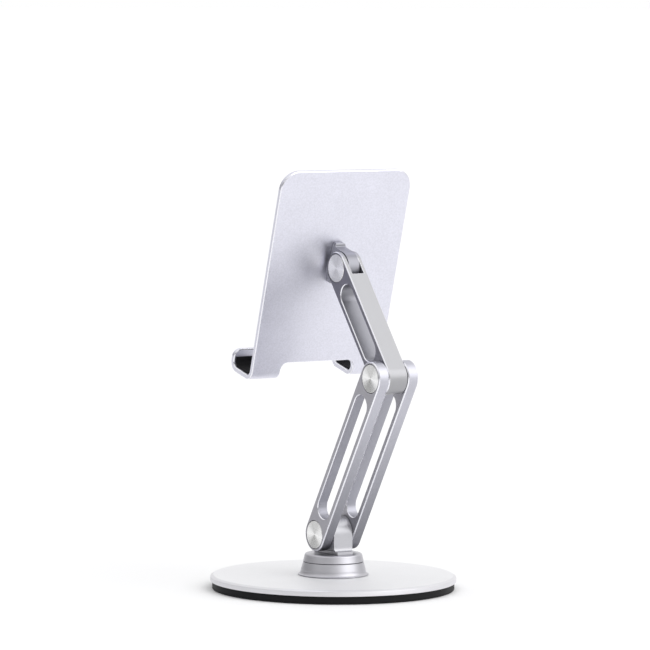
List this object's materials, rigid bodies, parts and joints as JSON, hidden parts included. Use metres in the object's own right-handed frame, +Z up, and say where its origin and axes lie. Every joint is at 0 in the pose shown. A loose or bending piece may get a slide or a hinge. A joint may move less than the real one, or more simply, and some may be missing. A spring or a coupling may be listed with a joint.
{
  "type": "tablet stand",
  "caption": "Desk stand for a tablet: round weighted base with a swivel, slotted two-part folding arm and a tilting sheet holder with hooks along its lower edge.",
  "frame": {"origin": "centre of the base's underside, where the stand rests on the desk", "axes": "+Z up; the tablet's screen looks towards -Y and the arms are behind it; the three hinges turn about X, and +X is the right of a person looking at the screen"},
  "size_m": [0.1266, 0.1266, 0.2159],
  "materials": {
    "base_silver": "fine satin",
    "sheet_silver": "fine blasted satin",
    "arm_silver": "satin",
    "spun_metal": "spun in fine circles",
    "steel": "zinc plated",
    "weight": "plain",
    "rubber": "matte",
    "nylon": "plain"
  },
  "bodies": {
    "base": {"base_pad": "rubber", "weight_disc": "weight", "base_plate": "base_silver", "base_collar": "arm_silver", "collar_screw_1": "steel", "collar_screw_2": "steel", "collar_screw_3": "steel", "swivel_washer": "nylon"},
    "swivel": {"swivel_ring": "arm_silver", "swivel_bolt": "steel", "swivel_spring": "steel", "swivel_nut": "steel", "lower_lug": "arm_silver", "lug_screw_1": "steel", "lug_screw_2": "steel"},
    "lower_arm": {"lower_arm_right": "arm_silver", "lower_arm_left": "arm_silver", "lower_pivot_sleeve": "steel", "lower_pivot_screw": "steel", "lower_pivot_nut": "steel", "lower_washer_right": "nylon", "lower_washer_left": "nylon", "lower_cap_right": "spun_metal", "lower_cap_left": "spun_metal", "elbow_pivot_sleeve": "steel", "elbow_pivot_screw": "steel", "elbow_pivot_nut": "steel", "elbow_washer_right": "nylon", "elbow_washer_left": "nylon", "elbow_cap_right": "spun_metal", "elbow_cap_left": "spun_metal"},
    "upper_arm_set": {"upper_arm": "arm_silver", "tilt_barrel": "spun_metal", "tilt_screw": "spun_metal", "tilt_washer_right": "nylon", "tilt_washer_left": "nylon"},
    "holder": {"upper_bracket": "arm_silver", "bracket_screw_1": "steel", "bracket_screw_2": "steel", "holder_plate": "sheet_silver", "holder_pad": "rubber", "hook_pad_right": "rubber", "hook_pad_left": "rubber"}
  },
  "joints": [
    {"name": "base_swivel", "type": "hinge", "parent": "base", "child": "swivel", "pos_m": [0, 0, 0.01415], "axis": [0, 0, 1], "continuous": true},
    {"name": "lower_hinge", "type": "hinge", "parent": "swivel", "child": "lower_arm", "pos_m": [0, 0, 0.0284], "axis": [1, 0, 0], "range_deg": [-60, 75]},
    {"name": "elbow_hinge", "type": "hinge", "parent": "lower_arm", "child": "upper_arm_set", "pos_m": [0, 0.05047, 0.1124], "axis": [1, 0, 0], "range_deg": [-120, 30]},
    {"name": "holder_tilt", "type": "hinge", "parent": "upper_arm_set", "child": "holder", "pos_m": [0, 0.00898, 0.16551], "axis": [1, 0, 0], "range_deg": [-110, 30]}
  ]
}
